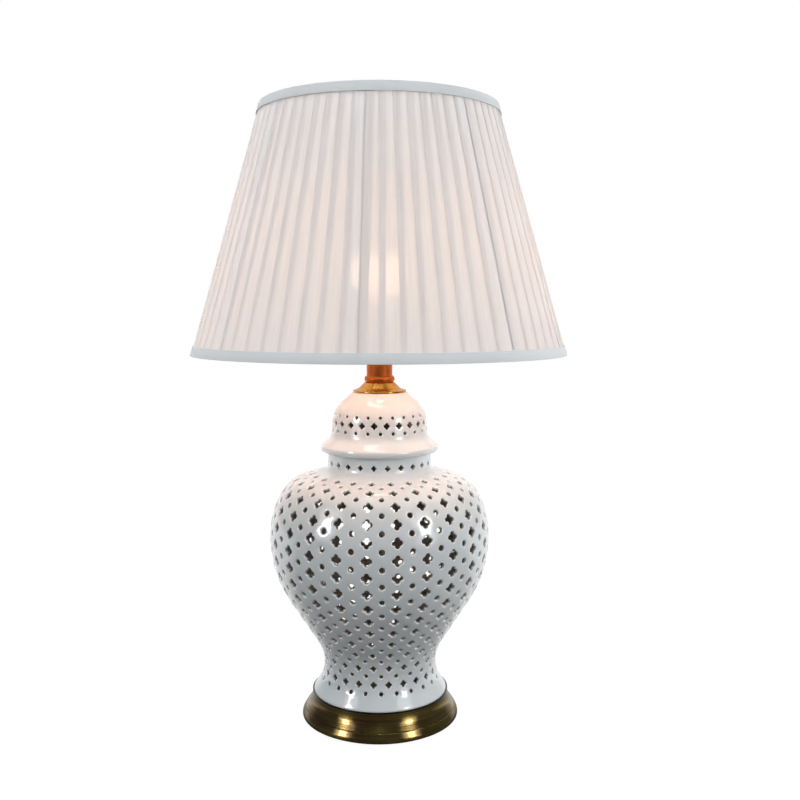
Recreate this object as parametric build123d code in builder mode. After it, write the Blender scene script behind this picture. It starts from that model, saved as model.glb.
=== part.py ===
from build123d import *
from math import acos, cos, pi, sin, tan
import os

# Pierced ceramic table lamp with a pleated shade, in millimetres.
# +Z is up, -Y is the front, and the origin lies under the middle of the base.

# Room left between pieces
thread_room = 0.05
running_room = 0.06
hole_room = 0.25
seat_room = 0.4
end_room = 0.15

# Threaded rod that clamps the lamp together, with its nuts
rod_radius = 5.0
rod_bore_radius = 3.75
rod_below_nut = 1.0
rod_into_holder = 8.0
nut_across_flats = 17.0
nut_height = 6.0
washer_radius = 14.0
washer_thickness = 1.6

# Spun brass base with its felt and weight
felt_thickness = 2.0
felt_radius = 81.0
base_radius = 86.0
base_height = 31.0
base_sheet = 1.2
rim_width = 9.0
band_shoulder_height = 5.8
band_height = 12.2
band_top_radius = 82.4
ogee_height = 22.5
lip_radius = 74.7
lip_depth = 1.8
groove_radius = 0.8
base_round_radii = [1.5, 7.0, 3.0, 20.0]
weight_radius = 70.0
weight_bottom = 6.0
weight_pocket_radius = 17.0
weight_pocket_depth = 10.0
cord_channel_width = 9.0
cord_channel_depth = 7.0

# Bush in the back of the base where the lead goes in
bush_height = 7.6
bush_radius = 3.9
bush_bore_radius = 2.9
bush_flange_radius = 5.0
bush_flange_thickness = 2.0
bush_lip_radius = 4.3
bush_lip_thickness = 1.5
bush_grip = 5.2

# Jar, with heights counted from its foot
gasket_thickness = 1.0
gasket_width = 12.0
jar_wall = 5.0
jar_floor = 6.0
jar_floor_bite = 1.0
jar_height = 264.8
jar_foot_edge = 2.0
waist_radius = 61.6
waist_low = 19.4
waist_high = 45.6
belly_radius = 119.4
belly_low = 135.9
belly_high = 197.7
shoulder_radius = 100.6
shoulder_height = 233.1
collar_radius = 56.0
collar_low = 247.6
jar_round_radii = [3.0, 34.0, 54.0, 126.0, 96.0, 40.0, 6.0]

# Quatrefoil piercings of jar and lid
columns = 24
foil_rows = 15
foil_first_row = 28.0
foil_row_pitch = 18.0
foil_share = 0.36
foil_notch_share = 0.4
dot_share = 0.165
band_half_height = 5.6
collar_row_below_top = 10.5
collar_band_half_height = 3.0
collar_blend_step = 3.4

# Lid, with heights counted from its seat on the collar
lid_wall = 4.5
spigot_depth = 8.0
spigot_wall = 4.0
flange_under_radius = 58.5
flange_radius = 64.2
flange_low = 2.4
flange_high = 7.3
flange_blend = 9.0
drum_low = 17.0
drum_low_radius = 52.6
drum_high = 47.4
drum_high_radius = 49.8
crown_height = 65.2
crown_radius = 28.6
lid_round_radii = [2.5, 3.0, 12.0, 30.0, 1.5]
lid_foil_height = 33.0
lid_dot_heights = [25.0, 41.5]

# Brass cap, bead and neck tube above the lid
cap_sheet = 1.2
cap_rim_radius = 29.0
cap_rim_height = 1.6
cap_dish_radius = 23.0
cap_dish_height = 3.4
cap_top_radius = 16.2
cap_height = 10.0
cap_seat_width = 8.0
cap_round_radii = [0.7, 9.0, 1.6]
bead_radius = 16.4
bead_neck_radius = 14.6
bead_height = 7.0
tube_radius = 13.9
tube_wall = 1.2
tube_height = 13.8

# Lamp holder, with heights counted from the top of the neck tube
holder_radius = 19.5
holder_foot_radius = 10.0
holder_foot_height = 3.0
holder_dome_height = 8.5
holder_cap_height = 19.0
holder_boss_radius = 9.0
holder_boss_height = 9.0
holder_cap_wall = 3.0
holder_joint_wall = 1.2
holder_round_radii = [2.0, 6.0]
insert_radius = 17.6
insert_thickness = 7.0
insert_seat_height = 15.0
shell_height = 52.5
shell_inner_radius = 16.8
shell_thread_pitch = 3.0
shell_thread_radius = 0.6
shell_thread_turns = 9
screw_shell_height = 24.0
screw_shell_wall = 0.9
contact_thickness = 0.6
contact_width = 6.0
contact_rise = 1.4
contact_reach = 8.5
terminal_offset = 10.0
terminal_head_radius = 2.6
terminal_head_height = 2.0
terminal_shank_radius = 1.45
terminal_shank_length = 4.0
terminal_slot = 0.7

# Push bar switch through the holder
switch_height = 12.0
switch_bar_radius = 2.0
switch_button_radius = 3.2
switch_button_length = 4.0
switch_travel = 6.0
switch_button_room = 0.5

# Screw-in bulb, with heights counted from its contact
bulb_room = 0.2
bulb_thread_radius = 13.1
bulb_thread_depth = 0.8
bulb_thread_pitch = 3.629
bulb_thread_turns = 5
bulb_thread_start = 2.5
bulb_thread_room = 0.3
bulb_cap_bore = 11.5
bulb_cap_low = 5.0
bulb_cap_high = 26.0
bulb_contact_radius = 4.7
bulb_contact_height = 1.2
bulb_height = 105.0
bulb_radius = 30.0
bulb_neck_radius = 13.0
bulb_throat_radius = 15.5
bulb_throat_height = 42.0
bulb_cheek_height = 62.0
bulb_glass = 1.0
bulb_round_radii = [40.0, 28.0, 29.5]
stem_base_thickness = 1.5
stem_radius = 3.0
stem_flare_height = 10.0
stem_top = 58.0
lead_length = 12.0
filament_radius = 0.5
filament_height = 72.0
filament_half_width = 12.0

# Pleated shade and the wire frame that carries it
shade_bottom = 401.0
shade_top = 660.0
shade_bottom_radius = 200.0
shade_top_radius = 126.0
panels = 8
pleats_per_panel = 8
panel_start_degrees = -96.5
pleat_depth = 2.0
pleat_lap = 0.9
cloth_thickness = 0.7
trim_height = 10.0
trim_thickness = 0.7
trim_lip = 0.8
trim_room = 0.15
frame_wire_radius = 1.8
rib_wire_radius = 1.3
ring_inset = 4.0
arms = 3
arm_start_degrees = 90.0
arm_wire_radius = 1.6
fitter_height = 424.3
fitter_thickness = 1.5
fitter_radius = 31.0
fitter_bore_room = 0.7
fitter_room = 0.3
lower_ring_radius = 27.0
lower_ring_thickness = 3.0
upper_ring_radius = 25.5
upper_ring_thickness = 5.0
ring_grip_count = 24
ring_grip_radius = 0.9

# Heights where the pieces stand on each other
deck_top = base_height - lip_depth
deck_bottom = deck_top - base_sheet
jar_bottom = deck_top + gasket_thickness
jar_foot_radius = lip_radius - base_sheet - seat_room
jar_top = jar_bottom + jar_height
crown_top = jar_top + crown_height
cap_top = crown_top + cap_height
bead_top = cap_top + bead_height
tube_top = bead_top + tube_height
holder_cap_top = tube_top + holder_cap_height
insert_bottom = tube_top + insert_seat_height
insert_top = insert_bottom + insert_thickness
shell_top = tube_top + shell_height
bulb_bottom = insert_top + contact_rise + contact_thickness + bulb_room
weight_pocket_top = weight_bottom + weight_pocket_depth
washer_bottom = weight_pocket_top - washer_thickness
base_nut_bottom = washer_bottom - nut_height
rod_bottom = base_nut_bottom - rod_below_nut
rod_top = tube_top + rod_into_holder
rod_hole_radius = rod_radius + hole_room
nut_thread_radius = rod_radius + thread_room


def fitted_radii(corners, radii):
    """The rounding radii of an outline, smaller where two sides leave too little room."""
    points = [Vector(*corner) for corner in corners]
    sides = [b - a for a, b in zip(points, points[1:])]
    turns = [acos(a.normalized().dot(b.normalized())) for a, b in zip(sides, sides[1:])]
    reach = [0, *[r * tan(turn / 2) for r, turn in zip(radii, turns)], 0]
    room = [0.999 * side.length / max(a + b, 1e-6) for side, a, b in zip(sides, reach, reach[1:])]
    return [r * min(1, before, after) for r, before, after in zip(radii, room, room[1:])]


def turned(plane, degrees_round):
    """A plane carried round the lamp's axis."""
    return Plane(Rot(0, 0, degrees_round) * plane.location)


def wall_plane(outline, distance, degrees_round, depth):
    """A plane under the wall that an outline turns, square to it, at a distance along the outline."""
    place = outline.position_at(distance, PositionMode.LENGTH)
    along = outline.tangent_at(distance, PositionMode.LENGTH)
    outward = Vector(along.Y, 0, -along.X)
    level = Plane(
        origin=Vector(place.X, 0, place.Y) - outward * depth,
        x_dir=(0, 1, 0),
        z_dir=outward,
    )
    return turned(level, degrees_round)


def ring_of_planes(outline, distance, half_steps, depth):
    """One plane for each column of piercings, turned on by half columns."""
    step = 360 / columns
    return [
        wall_plane(outline, distance, step * (column + half_steps / 2), depth)
        for column in range(columns)
    ]


def foil_points(radius):
    """The corners of a quatrefoil: four tips and four notches."""
    tip = foil_share * pi * radius / columns
    notch = foil_notch_share * tip
    return [
        (tip, 0), (notch, notch), (0, tip), (-notch, notch),
        (-tip, 0), (-notch, -notch), (0, -tip), (notch, -notch),
    ]


def save(part, name):
    """Labels a finished piece and writes it under its name."""
    part.label = name
    export_step(part, f"parts/{name}.step")


os.makedirs("parts", exist_ok=True)

# Felt under the base
with BuildPart() as base_felt:
    with BuildSketch():
        Circle(felt_radius)
    extrude(amount=felt_thickness)
save(base_felt.part, "base_felt")

# Spun base: a turned-in rim, a round band, a groove, an ogee and a lip round the jar's foot
base_corners = [
    (base_radius - rim_width, felt_thickness),
    (base_radius, felt_thickness),
    (base_radius, band_shoulder_height),
    (band_top_radius, band_height),
    (lip_radius, ogee_height),
    (lip_radius, base_height),
]
bush_plane = Plane(origin=(0, 0, bush_height), x_dir=(-1, 0, 0), z_dir=(0, 1, 0))
with BuildPart() as base_shell:
    with BuildSketch(Plane.XZ):
        with BuildLine():
            FilletPolyline(*base_corners, radius=fitted_radii(base_corners, base_round_radii))
            offset(amount=base_sheet, side=Side.LEFT)
        make_face()
    revolve(axis=Axis.Z)
    with BuildSketch(Plane.XY.offset(deck_bottom)):
        Circle(lip_radius - base_sheet / 2)
        Circle(rod_hole_radius, mode=Mode.SUBTRACT)
    extrude(amount=base_sheet)
    with BuildSketch(Plane.XZ):
        with Locations((band_top_radius, band_height)):
            Circle(groove_radius)
    revolve(axis=Axis.Z, mode=Mode.SUBTRACT)
    with BuildSketch(bush_plane):
        Circle(bush_radius + hole_room)
    extrude(amount=2 * base_radius, mode=Mode.SUBTRACT)
save(base_shell.part, "base_shell")

# Cast weight under the deck, with a pocket for the nut and a channel for the lead
with BuildPart() as base_weight:
    with BuildSketch(Plane.XY.offset(weight_bottom)):
        Circle(weight_radius)
        Circle(rod_hole_radius, mode=Mode.SUBTRACT)
    extrude(amount=deck_bottom - weight_bottom)
    with BuildSketch(Plane.XY.offset(weight_bottom)):
        Circle(weight_pocket_radius)
    extrude(amount=weight_pocket_depth, mode=Mode.SUBTRACT)
    with BuildSketch(Plane.XY.offset(weight_bottom)):
        with Locations((0, weight_radius / 2)):
            Rectangle(cord_channel_width, weight_radius + 2 * base_sheet)
    extrude(amount=cord_channel_depth, mode=Mode.SUBTRACT)
save(base_weight.part, "base_weight")

# Bush for the lead in the back of the base
with BuildPart() as cord_bush:
    with BuildSketch(bush_plane.offset(base_radius + end_room)):
        Circle(bush_flange_radius)
    extrude(amount=bush_flange_thickness)
    with BuildSketch(bush_plane.offset(base_radius + end_room)):
        Circle(bush_radius)
    extrude(amount=-(bush_grip + bush_lip_thickness))
    with BuildSketch(bush_plane.offset(base_radius + end_room - bush_grip)):
        Circle(bush_lip_radius)
    extrude(amount=-bush_lip_thickness)
    with BuildSketch(bush_plane):
        Circle(bush_bore_radius)
    extrude(amount=2 * base_radius, mode=Mode.SUBTRACT)
save(cord_bush.part, "cord_bush")

# Gasket under the jar
with BuildPart() as jar_gasket:
    with BuildSketch(Plane.XY.offset(deck_top)):
        Circle(jar_foot_radius)
        Circle(jar_foot_radius - gasket_width, mode=Mode.SUBTRACT)
    extrude(amount=gasket_thickness)
save(jar_gasket.part, "jar_gasket")

# Hollow threaded rod with the washer and nut under the weight and the nut on the bead
with BuildPart() as threaded_rod:
    with BuildSketch(Plane.XY.offset(rod_bottom)):
        Circle(rod_radius)
        Circle(rod_bore_radius, mode=Mode.SUBTRACT)
    extrude(amount=rod_top - rod_bottom)
save(threaded_rod.part, "threaded_rod")

with BuildPart() as rod_washer:
    with BuildSketch(Plane.XY.offset(washer_bottom)):
        Circle(washer_radius)
        Circle(rod_hole_radius, mode=Mode.SUBTRACT)
    extrude(amount=washer_thickness)
save(rod_washer.part, "rod_washer")

for nut_name, nut_bottom in (("base_nut", base_nut_bottom), ("neck_nut", bead_top)):
    with BuildPart() as nut:
        with BuildSketch(Plane.XY.offset(nut_bottom)):
            RegularPolygon(nut_across_flats / 2, 6, major_radius=False)
            Circle(nut_thread_radius, mode=Mode.SUBTRACT)
        extrude(amount=nut_height)
    save(nut.part, nut_name)

# Jar: its outline is rounded corners, and its wall is turned in bands, one for each row of piercings
jar_corners = [
    (jar_foot_radius, jar_bottom),
    (jar_foot_radius, jar_bottom + jar_foot_edge),
    (waist_radius, jar_bottom + waist_low),
    (waist_radius, jar_bottom + waist_high),
    (belly_radius, jar_bottom + belly_low),
    (belly_radius, jar_bottom + belly_high),
    (shoulder_radius, jar_bottom + shoulder_height),
    (collar_radius, jar_bottom + collar_low),
    (collar_radius, jar_top),
]
with BuildLine() as jar_guide:
    FilletPolyline(*jar_corners, radius=fitted_radii(jar_corners, jar_round_radii))
jar_outline = jar_guide.wires()[0]
foil_distances = [foil_first_row + foil_row_pitch * row for row in range(foil_rows)]
collar_row = jar_outline.length - collar_row_below_top
collar_band_bottom = collar_row - collar_band_half_height
band_edges = [0, jar_foot_edge / 2, jar_foot_edge + jar_floor / 2, jar_outline.length]
band_edges += [d - band_half_height for d in foil_distances]
band_edges += [d + band_half_height for d in foil_distances]
band_edges += [collar_band_bottom - collar_blend_step * step for step in range(3)]
band_edges.append(collar_row + collar_band_half_height)
foil_distances.append(collar_row)
jar_outside = []
jar_inside = []
for distance in sorted(band_edges):
    place = jar_outline.position_at(distance, PositionMode.LENGTH)
    along = jar_outline.tangent_at(distance, PositionMode.LENGTH)
    jar_outside.append(place)
    jar_inside.append(place - Vector(along.Y, -along.X) * jar_wall)
with BuildPart() as jar:
    with BuildSketch(Plane.XZ):
        with BuildLine():
            Polyline(*jar_outside, *reversed(jar_inside), close=True)
        make_face()
    revolve(axis=Axis.Z)
    with BuildSketch(Plane.XY.offset(jar_bottom)):
        Circle(jar_foot_radius - jar_wall + jar_floor_bite)
        Circle(rod_hole_radius, mode=Mode.SUBTRACT)
    extrude(amount=jar_floor)
    for distance in foil_distances:
        row_radius = jar_outline.position_at(distance, PositionMode.LENGTH).X
        with BuildSketch(*ring_of_planes(jar_outline, distance, 1, 1.5 * jar_wall)):
            Polygon(*foil_points(row_radius), align=None)
    extrude(amount=3 * jar_wall, mode=Mode.SUBTRACT, clean=False)
save(jar.part, "jar")

# Lid: a flange on the collar, a spigot inside it, and a pierced drum with a domed crown
drum_slope = (drum_high_radius - drum_low_radius) / (drum_high - drum_low)
dome_corners = [
    (drum_low_radius, jar_top + drum_low),
    (drum_high_radius, jar_top + drum_high),
    (crown_radius, crown_top),
    (rod_hole_radius, crown_top),
]
flange_corners = [
    (flange_under_radius, jar_top),
    (flange_radius, jar_top + flange_low),
    (flange_radius, jar_top + flange_high),
    (drum_low_radius, jar_top + drum_low),
    (drum_low_radius + drum_slope * flange_blend, jar_top + drum_low + flange_blend),
]
spigot_radius = collar_radius - jar_wall - seat_room
with BuildPart() as lid:
    with BuildSketch(Plane.XZ):
        with BuildLine():
            dome = FilletPolyline(*dome_corners, radius=fitted_radii(dome_corners, lid_round_radii[3:]))
            offset(amount=lid_wall, side=Side.LEFT)
        make_face()
    revolve(axis=Axis.Z)
    with BuildSketch(Plane.XZ):
        with BuildLine():
            flange = FilletPolyline(
                *flange_corners,
                radius=fitted_radii(flange_corners, lid_round_radii[:3]),
            )
            Polyline(
                flange @ 1,
                (spigot_radius - spigot_wall, (flange @ 1).Y),
                (spigot_radius - spigot_wall, jar_top - spigot_depth),
                (spigot_radius, jar_top - spigot_depth),
                (spigot_radius, jar_top),
                flange @ 0,
            )
        make_face()
    revolve(axis=Axis.Z)
    foil_distance = lid_foil_height - drum_low
    with BuildSketch(*ring_of_planes(dome, foil_distance, 1, 2 * lid_wall)):
        Polygon(*foil_points(drum_low_radius), align=None)
    for height in lid_dot_heights:
        with BuildSketch(*ring_of_planes(dome, height - drum_low, 0, 2 * lid_wall)):
            Circle(dot_share * pi * drum_low_radius / columns)
    extrude(amount=4 * lid_wall, mode=Mode.SUBTRACT, clean=False)
save(lid.part, "lid")

# Brass cap on the lid's crown: a thin rim, a dish up to the bead and a hollow underside
cap_corners = [
    (cap_rim_radius, crown_top),
    (cap_rim_radius, crown_top + cap_rim_height),
    (cap_dish_radius, crown_top + cap_dish_height),
    (cap_top_radius, cap_top),
    (rod_hole_radius, cap_top),
]
with BuildPart() as vase_cap:
    with BuildSketch(Plane.XZ):
        with BuildLine():
            dish = FilletPolyline(*cap_corners, radius=fitted_radii(cap_corners, cap_round_radii))
            Polyline(
                dish @ 1,
                (rod_hole_radius, cap_top - cap_sheet),
                (cap_top_radius - 2 * cap_sheet, cap_top - cap_sheet),
                (cap_rim_radius - cap_seat_width, crown_top),
                dish @ 0,
            )
        make_face()
    revolve(axis=Axis.Z)
save(vase_cap.part, "vase_cap")

# Bead above the cap
with BuildPart() as neck_bead:
    with BuildSketch(Plane.XZ):
        with BuildLine():
            bead_arc = ThreePointArc(
                (bead_neck_radius, cap_top),
                (bead_radius, cap_top + bead_height / 2),
                (bead_neck_radius, bead_top),
            )
            Polyline(bead_arc @ 1, (rod_hole_radius, bead_top), (rod_hole_radius, cap_top), bead_arc @ 0)
        make_face()
    revolve(axis=Axis.Z)
save(neck_bead.part, "neck_bead")

# Neck tube over the upper nut
with BuildPart() as neck_tube:
    with BuildSketch(Plane.XY.offset(bead_top)):
        Circle(tube_radius)
        Circle(tube_radius - tube_wall, mode=Mode.SUBTRACT)
    extrude(amount=tube_height)
save(neck_tube.part, "neck_tube")

# Holder cap: a dome screwed on the rod, with a ledge for the insert and holes for the switch bar
ledge_radius = holder_radius - holder_cap_wall
joint_radius = holder_radius - holder_joint_wall
cap_foot = [
    (holder_foot_radius, tube_top),
    (holder_foot_radius, tube_top + holder_foot_height),
    (holder_radius, tube_top + holder_dome_height),
    (holder_radius, holder_cap_top),
]
switch_plane = Plane(origin=(0, 0, tube_top + switch_height), x_dir=(0, 1, 0), z_dir=(1, 0, 0))
with BuildPart() as holder_cap:
    with BuildSketch(Plane.XZ):
        with BuildLine():
            outside = FilletPolyline(*cap_foot, radius=fitted_radii(cap_foot, holder_round_radii))
            Polyline(
                outside @ 1,
                (joint_radius, holder_cap_top),
                (joint_radius, insert_bottom),
                (ledge_radius, insert_bottom),
                (ledge_radius, tube_top + holder_dome_height + holder_cap_wall / 2),
                (holder_boss_radius, tube_top + holder_foot_height + holder_cap_wall),
                (holder_boss_radius, tube_top + holder_boss_height),
                (nut_thread_radius, tube_top + holder_boss_height),
                (nut_thread_radius, tube_top),
                outside @ 0,
            )
        make_face()
    revolve(axis=Axis.Z)
    with BuildSketch(switch_plane):
        Circle(switch_bar_radius + running_room)
    extrude(amount=2 * holder_radius, both=True, mode=Mode.SUBTRACT)
save(holder_cap.part, "holder_cap")

# Porcelain insert on the ledge, with blind holes for the terminal screws
with BuildPart() as holder_insert:
    with BuildSketch(Plane.XY.offset(insert_bottom)):
        Circle(insert_radius)
        with Locations((0, terminal_offset), (0, -terminal_offset)):
            Circle(terminal_shank_radius + thread_room, mode=Mode.SUBTRACT)
    extrude(amount=terminal_shank_length + hole_room)
    with BuildSketch(Plane.XY.offset(insert_bottom + terminal_shank_length + hole_room)):
        Circle(insert_radius)
    extrude(amount=insert_thickness - terminal_shank_length - hole_room)
save(holder_insert.part, "holder_insert")

with BuildPart() as terminal_screws:
    with Locations((0, terminal_offset, insert_bottom), (0, -terminal_offset, insert_bottom)):
        Cylinder(
            terminal_shank_radius,
            terminal_shank_length,
            align=(Align.CENTER, Align.CENTER, Align.MIN),
        )
        Cylinder(
            terminal_head_radius,
            terminal_head_height,
            align=(Align.CENTER, Align.CENTER, Align.MAX),
        )
    with Locations(
        (0, terminal_offset, insert_bottom - terminal_head_height),
        (0, -terminal_offset, insert_bottom - terminal_head_height),
    ):
        Box(
            2 * terminal_head_radius + end_room,
            terminal_slot,
            terminal_head_height,
            mode=Mode.SUBTRACT,
        )
save(terminal_screws.part, "terminal_screws")

# Outer shell of the holder, threaded for the shade rings
with BuildPart() as holder_shell:
    with BuildSketch(Plane.XZ):
        with BuildLine():
            Polyline(
                (joint_radius - thread_room, insert_bottom + thread_room),
                (joint_radius - thread_room, holder_cap_top),
                (holder_radius, holder_cap_top),
                (holder_radius, shell_top - holder_joint_wall),
                (holder_radius - holder_joint_wall, shell_top),
                (shell_inner_radius, shell_top),
                (shell_inner_radius, insert_top + end_room),
                (insert_radius + end_room, insert_top + end_room),
                (insert_radius + end_room, insert_bottom + thread_room),
                close=True,
            )
        make_face()
    revolve(axis=Axis.Z)
    with BuildSketch(Plane.XZ):
        for turn in range(shell_thread_turns):
            with Locations((holder_radius, holder_cap_top + shell_thread_pitch * (turn + 1))):
                Circle(shell_thread_radius)
    revolve(axis=Axis.Z, mode=Mode.SUBTRACT)
save(holder_shell.part, "holder_shell")

# Screw shell and centre contact on the insert
screw_shell_bore = bulb_thread_radius + bulb_thread_room
with BuildPart() as screw_shell:
    with BuildSketch(Plane.XZ):
        with Locations((screw_shell_bore + screw_shell_wall, insert_top + screw_shell_height / 2)):
            Rectangle(2 * screw_shell_wall, screw_shell_height)
        for turn in range(bulb_thread_turns):
            height = bulb_bottom + bulb_cap_low + bulb_thread_start + bulb_thread_pitch * turn
            with Locations((screw_shell_bore, height)):
                Circle(bulb_thread_depth, mode=Mode.SUBTRACT)
    revolve(axis=Axis.Z)
save(screw_shell.part, "screw_shell")

with BuildPart() as centre_contact:
    with BuildSketch(Plane.XZ.offset(-contact_width / 2)):
        with BuildLine():
            Polyline(
                (-contact_reach, insert_top),
                (-contact_reach / 2, insert_top),
                (-contact_reach / 4, insert_top + contact_rise),
                (contact_reach / 2, insert_top + contact_rise),
            )
            offset(amount=contact_thickness, side=Side.LEFT)
        make_face()
    extrude(amount=contact_width)
save(centre_contact.part, "centre_contact")

# Push bar that slides through the holder cap, with a button at each end
bar_left = -(holder_radius + switch_button_room)
bar_right = holder_radius + switch_button_room + switch_travel
with BuildPart() as switch_bar:
    with BuildSketch(switch_plane.offset(bar_left)):
        Circle(switch_bar_radius)
    extrude(amount=bar_right - bar_left)
    with BuildSketch(switch_plane.offset(bar_left - switch_button_length)):
        Circle(switch_button_radius)
    extrude(amount=switch_button_length)
    with BuildSketch(switch_plane.offset(bar_right)):
        Circle(switch_button_radius)
    extrude(amount=switch_button_length)
    button_ends = switch_bar.faces().filter_by(Plane.YZ).sort_by(Axis.X)
    fillet([*button_ends[0].edges(), *button_ends[-1].edges()], switch_button_radius / 3)
save(switch_bar.part, "switch_bar")

# Bulb: contact, insulator, cap with its thread, stem, filament and glass
with BuildPart() as bulb_contact:
    with BuildSketch(Plane.XY.offset(bulb_bottom)):
        Circle(bulb_contact_radius)
    extrude(amount=bulb_contact_height)
    fillet(bulb_contact.faces().sort_by(Axis.Z)[0].edges(), bulb_contact_height / 2)
save(bulb_contact.part, "bulb_contact")

insulator_bottom = bulb_bottom + bulb_contact_height
with BuildPart() as bulb_insulator:
    with BuildSketch(Plane.XZ):
        with BuildLine():
            Polyline(
                (0, insulator_bottom),
                (bulb_contact_radius, insulator_bottom),
                (bulb_cap_bore, bulb_bottom + bulb_cap_low),
                (bulb_cap_bore, bulb_bottom + bulb_cap_low + bulb_contact_height),
                (0, bulb_bottom + bulb_cap_low + bulb_contact_height),
                close=True,
            )
        make_face()
    revolve(axis=Axis.Z)
save(bulb_insulator.part, "bulb_insulator")

thread_root = bulb_thread_radius - bulb_thread_depth
with BuildPart() as bulb_cap:
    with BuildSketch(Plane.XZ):
        with BuildLine():
            Polyline(
                (bulb_cap_bore + thread_room, bulb_bottom + bulb_cap_low),
                (thread_root, bulb_bottom + bulb_cap_low),
                (thread_root, bulb_bottom + bulb_cap_high),
                (bulb_cap_bore + thread_room, bulb_bottom + bulb_cap_high),
                close=True,
            )
        make_face()
        for turn in range(bulb_thread_turns):
            height = bulb_bottom + bulb_cap_low + bulb_thread_start + bulb_thread_pitch * turn
            with Locations((thread_root, height)):
                Circle(bulb_thread_depth)
        with Locations((bulb_cap_bore + thread_room, bulb_bottom + bulb_height / 2)):
            Rectangle(2 * bulb_cap_bore, bulb_height, align=(Align.MAX, Align.CENTER), mode=Mode.SUBTRACT)
    revolve(axis=Axis.Z)
save(bulb_cap.part, "bulb_cap")

neck_bottom = bulb_bottom + bulb_cap_high
bulb_corners = [
    (bulb_neck_radius, neck_bottom),
    (bulb_throat_radius, bulb_bottom + bulb_throat_height),
    (bulb_radius, bulb_bottom + bulb_cheek_height),
    (bulb_radius, bulb_bottom + bulb_height),
    (0, bulb_bottom + bulb_height),
]
with BuildPart() as bulb_glass_part:
    with BuildSketch(Plane.XZ):
        with BuildLine():
            FilletPolyline(*bulb_corners, radius=fitted_radii(bulb_corners, bulb_round_radii))
            offset(amount=bulb_glass, side=Side.LEFT)
        make_face()
    revolve(axis=Axis.Z)
save(bulb_glass_part.part, "bulb_glass")

stem_base_radius = bulb_neck_radius - bulb_glass - end_room
with BuildPart() as bulb_stem:
    with BuildSketch(Plane.XZ):
        with BuildLine():
            Polyline(
                (0, neck_bottom),
                (stem_base_radius, neck_bottom),
                (stem_base_radius, neck_bottom + stem_base_thickness),
                (stem_radius, neck_bottom + stem_base_thickness + stem_flare_height),
                (stem_radius, bulb_bottom + stem_top),
                (0, bulb_bottom + stem_top),
                close=True,
            )
        make_face()
    revolve(axis=Axis.Z)
save(bulb_stem.part, "bulb_stem")

lead_offset = stem_radius + filament_radius + end_room
lead_bottom = bulb_bottom + stem_top - lead_length
with BuildPart() as bulb_filament:
    with BuildLine(Plane.XZ):
        FilletPolyline(
            (-lead_offset, lead_bottom),
            (-lead_offset, bulb_bottom + stem_top),
            (-filament_half_width, bulb_bottom + filament_height),
            (filament_half_width, bulb_bottom + filament_height),
            (lead_offset, bulb_bottom + stem_top),
            (lead_offset, lead_bottom),
            radius=2 * filament_radius,
        )
    with BuildSketch(Plane.XY.offset(lead_bottom)):
        with Locations((-lead_offset, 0)):
            Circle(filament_radius)
    sweep()
save(bulb_filament.part, "bulb_filament")

# Rings on the holder's thread that clamp the shade's fitter between them
ring_bore = holder_radius + thread_room
with BuildPart() as lower_ring:
    with BuildSketch(Plane.XY.offset(fitter_height - fitter_room - lower_ring_thickness)):
        Circle(lower_ring_radius)
        Circle(ring_bore, mode=Mode.SUBTRACT)
    extrude(amount=lower_ring_thickness)
save(lower_ring.part, "shade_ring_lower")

with BuildPart() as upper_ring:
    with BuildSketch(Plane.XY.offset(fitter_height + fitter_thickness + fitter_room)):
        Circle(upper_ring_radius)
        Circle(ring_bore, mode=Mode.SUBTRACT)
        with PolarLocations(upper_ring_radius, ring_grip_count):
            Circle(ring_grip_radius, mode=Mode.SUBTRACT)
    extrude(amount=upper_ring_thickness)
save(upper_ring.part, "shade_ring_upper")

# Fitter ring of the shade
with BuildPart() as fitter_ring:
    with BuildSketch(Plane.XY.offset(fitter_height)):
        Circle(fitter_radius)
        Circle(holder_radius + fitter_bore_room, mode=Mode.SUBTRACT)
    extrude(amount=fitter_thickness)
save(fitter_ring.part, "fitter_ring")

# The shade's cone: the cloth's outer folds lie under the trim
shade_slope = (shade_top_radius - shade_bottom_radius) / (shade_top - shade_bottom)
trim_build = trim_room + trim_thickness
cloth_build = pleat_depth + cloth_thickness
frame_ring_inset = cloth_build + seat_room + frame_wire_radius
rib_inset = cloth_build + seat_room + rib_wire_radius


def fold_radius(height):
    """The radius of the cloth's outer folds at a height."""
    return shade_bottom_radius - trim_build + shade_slope * (height - shade_bottom)


def pleat_points(radius):
    """The outline of the pleated cloth: each pleat runs in slowly and steps out again."""
    pleats = panels * pleats_per_panel
    inner = radius * (1 - pleat_depth / shade_bottom_radius)
    points = []
    for pleat in range(pleats):
        start = (panel_start_degrees + 360 * pleat / pleats) * pi / 180
        lap = start + 2 * pi * pleat_lap / pleats
        points.append((radius * cos(start), radius * sin(start)))
        points.append((inner * cos(lap), inner * sin(lap)))
    return points


cloth_bottom = shade_bottom + trim_lip + end_room
cloth_top = shade_top - trim_lip - end_room
with BuildPart() as shade_cloth:
    for height in (cloth_bottom, cloth_top):
        with BuildSketch(Plane.XY.offset(height)):
            Polygon(*pleat_points(fold_radius(height)), align=None)
    loft(ruled=True)
    for height in (cloth_bottom, cloth_top):
        with BuildSketch(Plane.XY.offset(height)):
            Polygon(*pleat_points(fold_radius(height) - cloth_thickness), align=None)
    loft(ruled=True, mode=Mode.SUBTRACT)
save(shade_cloth.part, "shade_cloth")

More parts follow.
